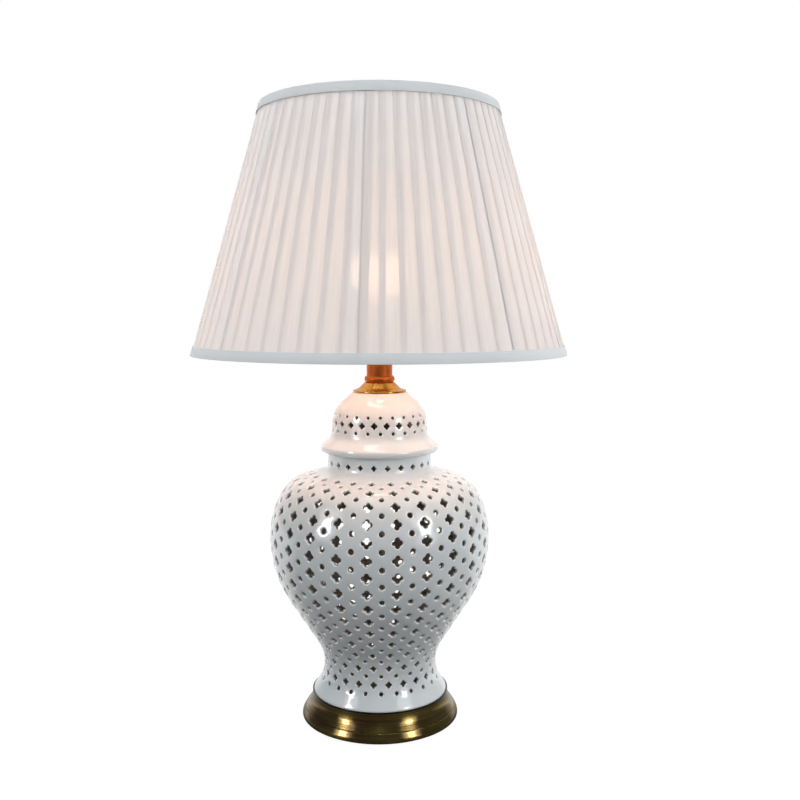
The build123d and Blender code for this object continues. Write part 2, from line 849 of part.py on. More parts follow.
# Tape along both edges of the shade
for trim_name, edge, inward in (
    ("shade_bottom_trim", shade_bottom, 1),
    ("shade_top_trim", shade_top, -1),
):
    lip_height = edge + inward * trim_lip
    band_end = edge + inward * trim_height
    lip_radius_inside = fold_radius(edge) - cloth_build - seat_room
    with BuildPart() as trim:
        with BuildSketch(Plane.XZ):
            with BuildLine():
                Polyline(
                    (fold_radius(edge) + trim_build, edge),
                    (fold_radius(band_end) + trim_build, band_end),
                    (fold_radius(band_end) + trim_room, band_end),
                    (fold_radius(lip_height) + trim_room, lip_height),
                    (lip_radius_inside, lip_height),
                    (lip_radius_inside, edge),
                    close=True,
                )
            make_face()
        revolve(axis=Axis.Z)
    save(trim.part, trim_name)

# Wire rings inside both edges of the shade
bottom_ring_height = shade_bottom + ring_inset
top_ring_height = shade_top - ring_inset
for ring_name, height in (
    ("shade_bottom_ring", bottom_ring_height),
    ("shade_top_ring", top_ring_height),
):
    with BuildPart() as wire_ring:
        with BuildSketch(Plane.XZ):
            with Locations((fold_radius(height) - frame_ring_inset, height)):
                Circle(frame_wire_radius)
        revolve(axis=Axis.Z)
    save(wire_ring.part, ring_name)

# Ribs between the rings, one behind each seam of the cloth
rib_low = bottom_ring_height + frame_wire_radius + rib_wire_radius / 2
rib_high = top_ring_height - frame_wire_radius - rib_wire_radius / 2
rib_foot = Vector(fold_radius(rib_low) - rib_inset, 0, rib_low)
rib_head = Vector(fold_radius(rib_high) - rib_inset, 0, rib_high)
for rib in range(panels):
    rib_plane = Plane(origin=rib_foot, x_dir=(0, 1, 0), z_dir=rib_head - rib_foot)
    rib_degrees = panel_start_degrees + 360 * rib / panels
    with BuildPart() as shade_rib:
        with BuildSketch(turned(rib_plane, rib_degrees)):
            Circle(rib_wire_radius)
        extrude(amount=(rib_head - rib_foot).length)
    save(shade_rib.part, f"shade_rib_{rib + 1}")

# Arms from the fitter ring down to the bottom ring
arm_head = Vector(fitter_radius + end_room, 0, fitter_height + fitter_thickness / 2)
arm_foot_radius = fold_radius(bottom_ring_height) - frame_ring_inset - frame_wire_radius - end_room
arm_foot = Vector(arm_foot_radius, 0, bottom_ring_height)
for arm in range(arms):
    arm_plane = Plane(origin=arm_head, x_dir=(0, 1, 0), z_dir=arm_foot - arm_head)
    arm_degrees = arm_start_degrees + 360 * arm / arms
    with BuildPart() as fitter_arm:
        with BuildSketch(turned(arm_plane, arm_degrees)):
            Circle(arm_wire_radius)
        extrude(amount=(arm_foot - arm_head).length)
    save(fitter_arm.part, f"fitter_arm_{arm + 1}")
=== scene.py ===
import math

import bmesh
import bpy
import numpy as np
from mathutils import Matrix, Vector


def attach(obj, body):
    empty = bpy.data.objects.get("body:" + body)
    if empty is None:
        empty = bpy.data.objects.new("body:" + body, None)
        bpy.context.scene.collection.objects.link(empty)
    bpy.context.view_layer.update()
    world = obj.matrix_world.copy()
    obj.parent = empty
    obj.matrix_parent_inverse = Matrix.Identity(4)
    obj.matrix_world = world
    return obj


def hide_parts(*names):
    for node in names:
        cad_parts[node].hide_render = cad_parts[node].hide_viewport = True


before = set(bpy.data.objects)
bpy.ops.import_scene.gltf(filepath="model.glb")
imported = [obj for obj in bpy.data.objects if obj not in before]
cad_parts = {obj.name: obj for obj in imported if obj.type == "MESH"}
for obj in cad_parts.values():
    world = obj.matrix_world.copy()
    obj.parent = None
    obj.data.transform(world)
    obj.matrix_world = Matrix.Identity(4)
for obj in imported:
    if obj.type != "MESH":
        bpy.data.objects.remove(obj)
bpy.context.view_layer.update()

# Shapes are in millimetres until a mesh is made, and heights count from the table.
# Finishes, lamps and the camera are in metres
MM = 0.001
# Points nearer than this are the same, and edges with a turn over this many degrees stay sharp
SAME_POINT, SHARP_EDGE = 1e-6, 50
LEAST_ARC_STEPS = 3

# Piercings of jar and lid: a quatrefoil in the middle of each cell, round dots at its corners.
# A width is a least width and a share of the column's width
COLUMNS = 24
JAR_FOIL, COLLAR_FOIL, LID_FOIL = (2.6, 0.30), (0.0, 0.44), (0.0, 0.54)
JAR_DOT, LID_DOT = (2.2, 0.138), (0.0, 0.28)
ROD_HOLE = 5.25

# A lobe's radius over its distance from the quatrefoil's middle
LOBE_RADIUS = 0.88
# A rim's radius over a dot's width or half a quatrefoil's, the angles of its points, the inner
# rim over the outer one, and how much whiter glaze and painted highlight show at its outer edge
RIM_SHARE = 0.13
RIM_TURNS = (0, 30, 60, 90)
INNER_RIM = 0.6
RIM_EDGE_GLAZE_AND_HIGHLIGHT = 0.15

# Mesh of the pierced walls: points on edges and arcs, rows of a cell between hole and edge,
# steps along the outline, room between rings, and the room round a row of dots.
# Points closer than the weld in column, distance and depth become one
EDGE_STEPS, ARC_STEPS = 2, 4
CELL_ROWS = (0.22, 0.6)
OUTLINE_STEP, RING_ROOM, DOT_CLEARANCE = 3.0, 0.3, 3.2
WELD = (1e-4, 1e-3, 1e-4)

# Jar
JAR_WALL, JAR_FLOOR = 5.0, 6.0
JAR_CORNERS = [
    (73.1, 30.2), (73.1, 32.2), (61.6, 49.6), (61.6, 75.8), (119.4, 166.1),
    (119.4, 227.9), (100.6, 263.3), (56.0, 277.8), (56.0, 295.0),
]
JAR_RADII = [3.0, 34.0, 54.0, 126.0, 95.9, 39.9, 6.0]
JAR_FOOT_ROUND, JAR_FLOOR_END = 0.8, 11.0
FIRST_DOTS, ROW_PITCH, ROWS = 19.0, 18.0, 15
COLLAR_ROW_BELOW_TOP, COLLAR_ROW_HALF = 10.5, 5.0

# Lid
LID_WALL = 4.5
LID_CORNERS = [
    (50.6, 287.0), (50.6, 295.0), (58.5, 295.0), (64.2, 297.4), (64.2, 302.3),
    (52.6, 312.0), (49.8, 342.4), (28.6, 360.2), (ROD_HOLE, 360.2),
]
LID_RADII = [0.3, 0.8, 2.5, 3.0, 12.0, 30.0, 6.0]
SPIGOT_BORE = 46.6
DRUM_FOOT, DRUM_DOTS_LOW, DRUM_FOILS, DRUM_DOTS_HIGH = 314.0, 320.0, 328.0, 336.5

# Shade
SHADE_BOTTOM, SHADE_TOP = 401.0, 660.0
FOLD_BOTTOM, FOLD_SLOPE = 199.15, -74.0 / 259.0
PLEATS, PLEATS_A_PANEL = 64, 8
FIRST_SEAM = -96.5
RIBS, FITTER_ARMS = 8, 3

# Cloth. A lap is a share of the pleat's width, a depth a share of the pleat's depth
PLEAT_DEPTH, CLOTH_INSET = 2.2, 0.25
LAP_BOTTOM, LAP_TOP, SEAM_LAP = 0.22, 0.55, 0.12
CLOTH_EDGE, CLOTH_ROWS, CLOTH_SHARP_EDGE = 0.95, 20, 75
FACE_STEPS, FACE_START, FACE_FALL, FACE_BULGE = 6, 0.05, 0.75, 0.12
BACK_POINTS, BACK_START, BACK_FALL = (0.97, 0.6, 0.25, 0.0), 0.26, 0.4
NEXT_FOLD, NEXT_FOLD_DEPTH = 0.02, 0.14

# How unevenly the folds lie: their drift, its waves up the shade, less of it at the seams,
# and the spread of the depths with the deepest that the tapes have room for
CLOTH_SEED = 11
FOLD_DRIFT, DRIFT_WAVES, SEAM_DRIFT = 0.035, (1, 0.6, 0.5, 0.3), 0.2
DEPTH_SPREAD, DEEPEST = 0.06, 1.1

# Tapes
TRIM_HEIGHT, TRIM_LIP, TRIM_ROOM = 10.0, 0.8, 0.15
TRIM_OUT, TRIM_IN = 0.85, 3.1
TRIM_ROUND, TRIM_INNER_ROUND, TRIM_ARC_STEP = 0.3, 0.1, 0.2
TRIM_SWAY, TRIM_POINTS_A_PLEAT = 0.06, 4

# Share of the cloth that is open between its threads
CLOTH_OPEN = 0.021

# Heights in metres: where a shadow is painted on the base's lip by the jar's foot, where the bulb's
# glow starts above its neck and ends at its crown, and where the cloth lets less light through
LIP_SHADOW_HEIGHTS = (0.0292, 0.0300)
GLOW_FOOT, GLOW_CROWN = (0.445, 0.482), (0.49, 0.518)
CLOTH_TOP = (0.55, 0.66)

# Distances from a seam of the cloth in metres: the stitches, and the allowance behind one side
STITCHES = (0.0003, 0.0013)
ALLOWANCE_END, ALLOWANCE_START = (-0.011, -0.008), (-0.001, 0.001)

# Spun metal: how fine its lines are, per turn round the axis and per metre across, and its painted
# shadow
LINES_ROUND, LINES_ACROSS = 3.0, 900.0
LIP_SHADOW_BLACK = (0.012, 0.009, 0.007)

# Input and output sockets of a Mix node for colours
MIX_FIRST, MIX_SECOND, MIX_RESULT = 6, 7, 2

# Studio: the light of the room, and the directions in which the white backdrop begins
ROOM, WHITE = (0.13, 0.135, 0.14, 1), (1, 1, 1, 1)
BACKDROP = (0.5, 0.9)

# Floor: its size, the distances at which it stops being near the lamp, how far back it is
# mirrored white, how much darker it is seen near the lamp, and its own greys
FLOOR_SIZE, FLOOR_NEAR, FLOOR_MIRRORED = 12, (0.3, 1.5), (-0.05, 0.2)
FLOOR_SHADE = 0.07
FAR_GREY, NEAR_GREY = (0.04, 0.04, 0.04), (0.11, 0.11, 0.11)

# Lamps: name, place, size, watts, and whether glaze and metal mirror it
WINDOW, PANEL = (0.28, 0.5), (0.66, 1.1)
LAMPS = [
    ("left_window", (-1.30, -0.80, 0.80), WINDOW, 7.4, True),
    ("left_panel", (-1.33, -0.82, 0.85), PANEL, 5.0, True),
    ("right_window", (1.10, -1.05, 0.75), WINDOW, 5.8, True),
    ("right_panel", (1.13, -1.08, 0.80), PANEL, 5.1, True),
    ("right_fill", (1.45, -0.25, 0.60), PANEL, 7.0, False),
    ("back_left_panel", (-1.05, 1.10, 0.85), PANEL, 8.0, False),
    ("back_right_panel", (1.20, 0.95, 0.85), PANEL, 8.5, False),
    ("overhead", (-0.3, -0.45, 2.3), (1.4, 1.0), 16.5, True),
    ("bulb_glow", (0, 0, 0.40), (0.3, 0.3), 0.28, False),
]
LAMP_AIM = (0, 0, 0.35)
GLOW_COLOUR = (1.0, 0.42, 0.16)

# Camera: its place, its angles downward and to the left in degrees, and its sensor and lens in mm
CAMERA_PLACE = (-0.0181, -1.0385, 0.4516)
CAMERA_DOWN, CAMERA_LEFT = 5.55, -2.22
SENSOR_WIDTH, LENS = 36.0, 43.3


class Wire:
    """A socket of a finish, whose arithmetic adds Math nodes."""

    def __init__(self, finish, socket):
        self.finish = finish
        self.socket = socket

    def math(self, operation, *values):
        return self.finish.node("ShaderNodeMath", {"operation": operation}, dict(enumerate(values)))

    def __add__(self, other):
        return self.math("ADD", self, other)

    def __radd__(self, other):
        return self.math("ADD", other, self)

    def __sub__(self, other):
        return self.math("SUBTRACT", self, other)

    def __rsub__(self, other):
        return self.math("SUBTRACT", other, self)

    def __mul__(self, other):
        return self.math("MULTIPLY", self, other)

    def __rmul__(self, other):
        return self.math("MULTIPLY", other, self)

    def __truediv__(self, other):
        return self.math("DIVIDE", self, other)

    def fade(self, low, high):
        """0 below low, 1 above high and a soft step between them."""
        return self.finish.node(
            "ShaderNodeMapRange",
            {"interpolation_type": "SMOOTHSTEP"},
            {"Value": self, "From Min": low, "From Max": high},
        )


class Finish:
    """A procedural material on one Principled shader, with its nodes."""

    def __init__(self, name, **sockets):
        self.material = bpy.data.materials.new(name)
        self.material.use_nodes = True
        self.tree = self.material.node_tree
        self.shader = self.tree.nodes["Principled BSDF"]
        self.feed(**sockets)

    def feed(self, **sockets):
        """Sets the shader's sockets, or links them to what changes over the surface."""
        for socket, value in sockets.items():
            self.set(self.shader, socket.replace("_", " "), value)

    def set(self, node, socket, value):
        if isinstance(value, Wire):
            self.tree.links.new(value.socket, node.inputs[socket])
        else:
            node.inputs[socket].default_value = value

    def node(self, kind, settings=None, sockets=None, output=0):
        """Adds a node: its settings first, then the values or links of its sockets."""
        made = self.tree.nodes.new(kind)
        for setting, value in (settings or {}).items():
            setattr(made, setting, value)
        for socket, value in (sockets or {}).items():
            self.set(made, socket, value)
        return Wire(self, made.outputs[output])

    def place(self):
        return self.node("ShaderNodeTexCoord", output="Object")

    def axes(self):
        place = self.place()
        return [self.node("ShaderNodeSeparateXYZ", None, {0: place}, axis) for axis in "XYZ"]

    def polar(self):
        """The angle round the lamp in turns, the distance from its axis, and the height."""
        x, y, z = self.axes()
        turns = x.math("ARCTAN2", y, x) / (2 * math.pi)
        return turns, x.math("SQRT", x * x + y * y), z

    def vector(self, x, y, z):
        return self.node("ShaderNodeCombineXYZ", None, {0: x, 1: y, 2: z})

    def mark(self, name):
        """A value that the mesh carries at its points."""
        return self.node("ShaderNodeAttribute", {"attribute_name": name}, None, "Fac")

    def noise(self, scale, detail=2.0, vector=None):
        return self.node(
            "ShaderNodeTexNoise",
            None,
            {"Vector": vector or self.place(), "Scale": scale, "Detail": detail},
        )

    def ribs(self, direction, vector, scale=1.0):
        """Fine even ribs that follow each other in one direction of the vector."""
        return self.node(
            "ShaderNodeTexWave",
            {"wave_type": "BANDS", "bands_direction": direction},
            {"Vector": vector, "Scale": scale, "Distortion": 0.0},
        )

    def mix(self, share, first, second):
        """A colour between two colours."""
        first, second = [c if isinstance(c, Wire) else (*c, 1) for c in (first, second)]
        sockets = {0: share, MIX_FIRST: first, MIX_SECOND: second}
        return self.node("ShaderNodeMix", {"data_type": "RGBA"}, sockets, MIX_RESULT)

    def bump(self, height, distance, strength=1.0):
        sockets = {"Strength": strength, "Distance": distance, "Height": height}
        return self.node("ShaderNodeBump", None, sockets)


def glaze_finish():
    """White glaze: bluish where it lies thick, whiter at the piercings' rims (glaze and painted
    highlight), an unglazed body painted dark as shade inside.
    """
    finish = Finish("white_glaze", IOR=1.52, Coat_Roughness=0.03)
    rim = finish.mark("rim")
    # Deeper in the wall the glaze gives way to an unglazed body, rougher, and painted dark as the
    # shade inside the jar.
    bare_and_shaded = finish.mark("depth").fade(0.2, 0.7)
    pooled = finish.noise(scale=14.0, detail=3.0)
    body = finish.mix(pooled.fade(0.35, 0.7), (0.60, 0.64, 0.655), (0.665, 0.695, 0.705))
    specks = finish.noise(scale=900.0, detail=1.0).fade(0.74, 0.8)
    body = finish.mix(specks * 0.25, body, (0.50, 0.50, 0.47))
    # The rims' white is partly the glaze and partly a painted highlight where the edges catch the
    # light.
    glazed_and_highlit = finish.mix(rim.fade(0.1, 0.9), body, (0.86, 0.865, 0.86))
    grog = finish.noise(scale=300.0, detail=3.0)
    # The unglazed body's dark colour is a painted shade of the jar's inside.
    shaded_clay = finish.mix(grog, (0.25, 0.225, 0.19), (0.40, 0.365, 0.32))
    waves, ripples = finish.noise(scale=55.0), finish.noise(scale=240.0, detail=1.0)
    finish.feed(
        Base_Color=finish.mix(bare_and_shaded, glazed_and_highlit, shaded_clay),
        Roughness=0.07 + 0.05 * finish.noise(scale=120.0) + 0.7 * bare_and_shaded,
        Coat_Weight=0.35 * (1 - bare_and_shaded),
        Normal=finish.bump(waves + 0.35 * ripples + bare_and_shaded * grog, distance=0.00025, strength=0.2),
    )
    return finish.material


def spun_metal_finish(name, dark, light, roughness, grain=0.6, lacquer=0.0, painted_shadow=None):
    """Turned metal: fine lines round its axis, which spread lights along its height, and tarnish.

    painted_shadow gives the heights between which a nearly black shadow is painted, as at the lip
    round the jar's foot.
    """
    finish = Finish(
        name,
        Metallic=1.0,
        Anisotropic=grain,
        Anisotropic_Rotation=0.25,
        Coat_Weight=lacquer,
        Coat_Roughness=0.12,
    )
    turns, radius, height = finish.polar()
    around = finish.vector(turns * LINES_ROUND, radius * LINES_ACROSS, height * LINES_ACROSS)
    lines = finish.noise(scale=1.0, detail=3.0, vector=around)
    patches = finish.noise(scale=22.0, detail=4.0)
    worn = (0.5 * lines + 0.5 * patches).fade(0.3, 0.75)
    smears = finish.noise(scale=60.0, detail=3.0).fade(0.55, 0.8)
    colour = finish.mix(worn, dark, light)
    if painted_shadow:
        # A painted shadow: nearly black in the band of heights where the jar's foot sits on the
        # base's lip.
        colour = finish.mix(height.fade(*painted_shadow), colour, LIP_SHADOW_BLACK)
    finish.feed(
        Base_Color=colour,
        Roughness=roughness + 0.08 * lines + 0.06 * smears,
        Normal=finish.bump(lines, distance=0.00004, strength=0.5),
    )
    return finish.material


def cast_finish():
    """Rough casting with a sandy skin."""
    finish = Finish("raw_casting", Metallic=0.8)
    sand = finish.noise(scale=900.0, detail=3.0)
    clouds = finish.noise(scale=40.0, detail=4.0)
    finish.feed(
        Base_Color=finish.mix(clouds, (0.05, 0.05, 0.05), (0.13, 0.12, 0.11)),
        Roughness=0.6 + 0.25 * sand,
        Normal=finish.bump(sand, distance=0.0003),
    )
    return finish.material


def felt_finish():
    """Pressed felt with a short tangled nap."""
    finish = Finish("green_felt", Roughness=0.95, Sheen_Weight=0.4)
    nap = finish.noise(scale=1800.0, detail=4.0)
    finish.feed(
        Base_Color=finish.mix(nap, (0.02, 0.035, 0.025), (0.06, 0.09, 0.065)),
        Normal=finish.bump(nap, distance=0.0004),
    )
    return finish.material


def moulded_finish(name, dark, light, roughness, grain=700.0):
    """Moulded or pressed stuff: a slight cloud in its colour and a fine grain."""
    finish = Finish(name)
    fine = finish.noise(scale=grain)
    finish.feed(
        Base_Color=finish.mix(finish.noise(scale=35.0, detail=3.0), dark, light),
        Roughness=roughness + 0.12 * fine,
        Normal=finish.bump(fine, distance=0.00006, strength=0.6),
    )
    return finish.material


def lit_bulb_finish():
    """Frosted glass lit from inside, brightest round the filament, dim at neck and crown."""
    finish = Finish("lit_frosted_glass", Base_Color=(0.86, 0.8, 0.72, 1), Emission_Strength=13.0)
    _, _, height = finish.axes()
    glow = height.fade(*GLOW_FOOT) * (1 - height.fade(*GLOW_CROWN))
    frost = finish.noise(scale=1500.0)
    finish.feed(
        Emission_Color=finish.mix(glow, (0.034, 0.022, 0.014), (1.0, 0.62, 0.38)),
        Roughness=0.35 + 0.2 * frost,
        Normal=finish.bump(frost, distance=0.00003),
    )
    return finish.material


def clear_glass_finish():
    """Clear glass of the bulb's stem."""
    finish = Finish("clear_glass", Transmission_Weight=0.9, IOR=1.5)
    seeds = finish.noise(scale=300.0)
    finish.feed(
        Base_Color=finish.mix(seeds, (0.9, 0.93, 0.92), (1.0, 1.0, 1.0)),
        Roughness=0.02 + 0.06 * seeds,
    )
    return finish.material


def pleated_cloth_finish():
    """Thin woven cloth that lets the bulb's light through, less of it at its seams."""
    finish = Finish("pleated_cloth", Roughness=0.8, Sheen_Weight=0.2)
    turns, radius, height = finish.polar()
    threads = finish.ribs("X", finish.vector(turns * 1400.0, 0.0, 0.0))
    picks = finish.ribs("Z", finish.vector(0.0, 0.0, height * 1000.0), scale=0.55)
    upright = finish.vector(turns * 500.0, radius * 20.0, height * 14.0)
    slubs = finish.noise(scale=1.0, detail=3.0, vector=upright)
    weave = threads * 0.5 + picks * 0.5
    cloth = finish.mix(slubs.fade(0.3, 0.7), (0.82, 0.795, 0.79), (0.89, 0.865, 0.86))
    panels = PLEATS / PLEATS_A_PANEL
    panel = turns * panels - FIRST_SEAM / 360 * panels + 0.5
    past_seam = (panel.math("FRACT", panel) - 0.5) * radius * (2 * math.pi / panels)
    stitched = 1 - past_seam.math("ABSOLUTE", past_seam).fade(*STITCHES)
    allowance = past_seam.fade(*ALLOWANCE_END) * (1 - past_seam.fade(*ALLOWANCE_START))
    finish.feed(
        Base_Color=finish.mix(0.25 * stitched, cloth, (0.42, 0.42, 0.43)),
        Normal=finish.bump(weave + slubs - 2 * stitched, distance=0.00012, strength=0.5),
    )
    surface = Wire(finish, finish.shader.outputs[0])
    through = finish.node("ShaderNodeBsdfTranslucent", None, {"Color": (0.86, 0.83, 0.82, 1)})
    thin = 0.5 - 0.06 * slubs - 0.12 * stitched - 0.22 * allowance - 0.2 * height.fade(*CLOTH_TOP)
    lit = finish.node("ShaderNodeMixShader", None, {0: thin, 1: surface, 2: through})
    gaps = finish.node("ShaderNodeBsdfTransparent")
    open_weave = finish.node("ShaderNodeMixShader", None, {0: CLOTH_OPEN, 1: lit, 2: gaps})
    finish.set(finish.tree.nodes["Material Output"], "Surface", open_weave)
    return finish.material


def tape_finish():
    """Pale woven tape with fine ribs across it."""
    finish = Finish("woven_tape", Roughness=0.75, Sheen_Weight=0.25)
    turns, radius, height = finish.polar()
    ribs = finish.ribs("X", finish.vector(turns * 900.0, 0.0, 0.0))
    around = finish.vector(turns * 30.0, radius * 900.0, height * 900.0)
    lines = finish.noise(scale=1.0, vector=around)
    finish.feed(
        Base_Color=finish.mix(lines, (0.60, 0.63, 0.65), (0.68, 0.71, 0.725)),
        Normal=finish.bump(ribs * 0.6 + lines, distance=0.00015, strength=0.6),
    )
    return finish.material


def rounded_outline(corners, radii, step=1.2):
    """Points along a turned outline: straight runs with an arc at each inner corner."""
    corners = [np.array(corner, float) for corner in corners]
    points = [corners[0]]
    for before, corner, after, radius in zip(corners, corners[1:], corners[2:], radii):
        arriving = (corner - before) / np.linalg.norm(corner - before)
        leaving = (after - corner) / np.linalg.norm(after - corner)
        side = math.copysign(1, arriving[0] * leaving[1] - arriving[1] * leaving[0])
        turn = math.acos(np.clip(arriving @ leaving, -1, 1))
        start = corner - arriving * radius * math.tan(turn / 2)
        centre = start + side * radius * np.array([-arriving[1], arriving[0]])
        steps = max(LEAST_ARC_STEPS, math.ceil(radius * turn / step))
        x, y = start - centre
        for angle in np.linspace(0, side * turn, steps + 1):
            c, s = math.cos(angle), math.sin(angle)
            points.append(centre + np.array([c * x - s * y, s * x + c * y]))
    points.append(corners[-1])
    return np.array(points)


def evened(points, step=1.0):
    """The same outline with its long runs divided, and each point's distance along it."""
    finer = [points[:1]]
    for a, b in zip(points, points[1:]):
        count = max(1, math.ceil(np.linalg.norm(b - a) / step))
        finer.append(a + (b - a) * np.linspace(0, 1, count + 1)[1:, None])
    finer = np.concatenate(finer)
    finer = finer[np.r_[True, np.linalg.norm(np.diff(finer, axis=0), axis=1) > SAME_POINT]]
    distances = np.r_[0, np.cumsum(np.linalg.norm(np.diff(finer, axis=0), axis=1))]
    return finer, distances


def outward(points):
    """Unit normals on the right-hand side of an outline."""
    along = np.gradient(points, axis=0)
    along /= np.linalg.norm(along, axis=1)[:, None]
    return np.column_stack([along[:, 1], -along[:, 0]])


class PiercedWall:
    """A turned wall with piercings.

    A point is its column, its distance along the outline and its depth in the wall, 0 to 1.
    """

    def __init__(self, distances, outside, inside, wall, dot):
        self.distances = distances
        self.outside = outside
        self.inside = inside
        self.wall = wall
        self.dot = dot
        self.points = []
        self.rims = []
        self.quads = []
        self.count = 0

    def pitch(self, distance):
        """The width of a column of piercings at a distance along the outline."""
        return 2 * math.pi * np.interp(distance, self.distances, self.outside[:, 0]) / COLUMNS

    def half_width(self, width, distance):
        """Half of a piercing's width, from its least width and its share of the column."""
        least, share = width
        return (least + share * self.pitch(distance)) / 2

    def strip(self, first, second, rims=(0, 0)):
        """Quads between two rows of points."""
        size = len(first)
        self.points += [*first, *second]
        self.rims += [rims[0]] * size + [rims[1]] * size
        low, high = self.count, self.count + size
        self.quads += [(low + i, low + i + 1, high + i + 1, high + i) for i in range(size - 1)]
        self.count += 2 * size

    def strips(self, rows, rims=None):
        rims = rims or [0] * len(rows)
        for first, second, rim in zip(rows, rows[1:], zip(rims, rims[1:])):
            self.strip(first, second, rim)

    def rim_levels(self, rim):
        """How far a hole widens and how deep it is, from its rounded outer rim to the inside."""
        turns = [math.radians(t) for t in RIM_TURNS]
        levels = [(rim * (1 - math.sin(t)), rim * (1 - math.cos(t)) / self.wall) for t in turns]
        inner = INNER_RIM * rim
        return [*levels, (0, 1 - inner / self.wall), (inner, 1)]

    def rim_glaze_and_highlight(self, rows):
        """How much whiter glaze and painted highlight each level of a rim gets: little at its outer
        edge, then all.
        """
        return [RIM_EDGE_GLAZE_AND_HIGHLIGHT] + [1] * (len(rows) - 1)

    def dot_quarter(self, column, distance, side, up, radius, widen, depth):
        """A quarter of a round dot, from below or above its middle to beside it."""
        across = self.pitch(distance)
        reach = radius + widen
        turns = np.linspace(0, math.pi / 2, ARC_STEPS + 1)
        arc = [(reach * math.sin(t), reach * math.cos(t)) for t in turns]
        return [(column + side * x / across, distance + up * y, depth) for x, y in arc]

    def dot_rim(self, column, distance, side, up, radius):
        """The rim of a quarter of a dot, through the wall."""
        levels = self.rim_levels(RIM_SHARE * 2 * radius)
        rows = [self.dot_quarter(column, distance, side, up, radius, *level) for level in levels]
        self.strips(rows, self.rim_glaze_and_highlight(rows))

    def foil_quarter(self, column, distance, side, up, tip, widen, depth):
        """A quarter of a quatrefoil: half a lobe, the notch and half of the next lobe."""
        offset = tip / (1 + LOBE_RADIUS)
        radius = tip - offset + widen
        notch = math.pi / 4 + math.asin(offset / (radius * math.sqrt(2)))
        turns = np.linspace(0, notch, EDGE_STEPS + ARC_STEPS // 2 + 1)
        lobe = [(offset + radius * math.cos(t), radius * math.sin(t)) for t in turns]
        whole = lobe + [(y, x) for x, y in reversed(lobe[:-1])]
        across = self.pitch(distance)
        return [(column + side * x / across, distance + up * y, depth) for x, y in whole]

    def cell_edge(self, column, middle, corner, side, up, dot, widen, depth):
        """The edge of a quarter cell: up its side, round the dot at its corner, along its end."""
        at_side = column + side / 2
        if not dot:
            steps = np.linspace(0, 1, EDGE_STEPS + ARC_STEPS // 2 + 1)
            rise = [(at_side, middle + (corner - middle) * t, depth) for t in steps]
            return rise + [(at_side - side / 2 * t, corner, depth) for t in steps[1:]]
        arc = self.dot_quarter(at_side, corner, -side, -up, dot, widen, depth)
        steps = np.linspace(0, 1, EDGE_STEPS + 1)
        rise = [(at_side, middle + (arc[0][1] - middle) * t, depth) for t in steps[:-1]]
        run = [(arc[-1][0] + (column - arc[-1][0]) * t, corner, depth) for t in steps[1:]]
        return rise + arc + run

    def cell(self, column, low, middle, high, foil, dots):
        """One quatrefoil with the wall around it, up to the dots at the corners of its cell."""
        centre = column + 0.5
        tip = self.half_width(foil, middle)
        levels = self.rim_levels(RIM_SHARE * tip)
        for side in (-1, 1):
            for up, corner, dotted in ((-1, low, dots[0]), (1, high, dots[1])):
                dot = self.half_width(self.dot, corner) if dotted else 0
                foil_at = centre, middle, side, up, tip
                rims = [self.foil_quarter(*foil_at, *level) for level in levels]
                self.strips(rims, self.rim_glaze_and_highlight(rims))
                if dot:
                    self.dot_rim(centre + side / 2, corner, -side, -up, dot)
                widen = RIM_SHARE * 2 * dot
                quarter = centre, middle, corner, side, up, dot
                near, far = np.array(rims[0]), np.array(self.cell_edge(*quarter, widen, 0))
                self.strips([near, *(near + share * (far - near) for share in CELL_ROWS), far])
                self.strips([rims[-1], self.cell_edge(*quarter, INNER_RIM * widen, 1)])

    def ring(self, distance, depth, steps):
        """A plain ring of points round the wall."""
        return [(u, distance, depth) for u in np.linspace(0, COLUMNS, COLUMNS * steps + 1)]

    def dotted_ring(self, distance, up, depth):
        """A ring along a row of dots, which dips round each of them on the side up points to."""
        dot = self.half_width(self.dot, distance)
        widen = RIM_SHARE * 2 * dot * (INNER_RIM if depth else 1)
        ring = []
        for column in range(COLUMNS):
            leaving = self.dot_quarter(column, distance, 1, up, dot, widen, depth)
            arriving = self.dot_quarter(column + 1, distance, -1, up, dot, widen, depth)[::-1]
            run = np.linspace(leaving[-1][0], arriving[0][0], 2 * EDGE_STEPS + 1)[1:-1]
            ring += [*leaving, *((u, distance, depth) for u in run)]
            ring += arriving[: -1 if column < COLUMNS - 1 else None]
            if not depth:
                self.dot_rim(column, distance, 1, up, dot)
                self.dot_rim(column + 1, distance, -1, up, dot)
        return ring

    def plain(self, rows, steps, close_first=False, close_last=False, dotted=None):
        """Rings of plain wall on both faces, up to a row of dots if one is named.

        The two faces are joined across the wall where it ends.
        """
        faces = []
        for depth in (0, 1):
            rings = [self.ring(distance, depth, steps) for distance in rows]
            if dotted:
                place, up = dotted
                edge = self.dotted_ring(place, up, depth)
                rings = [edge, *rings] if up > 0 else [*rings, edge]
            self.strips(rings)
            faces.append(rings)
        if close_first:
            self.strip(faces[0][0], faces[1][0])
        if close_last:
            self.strip(faces[0][-1], faces[1][-1])

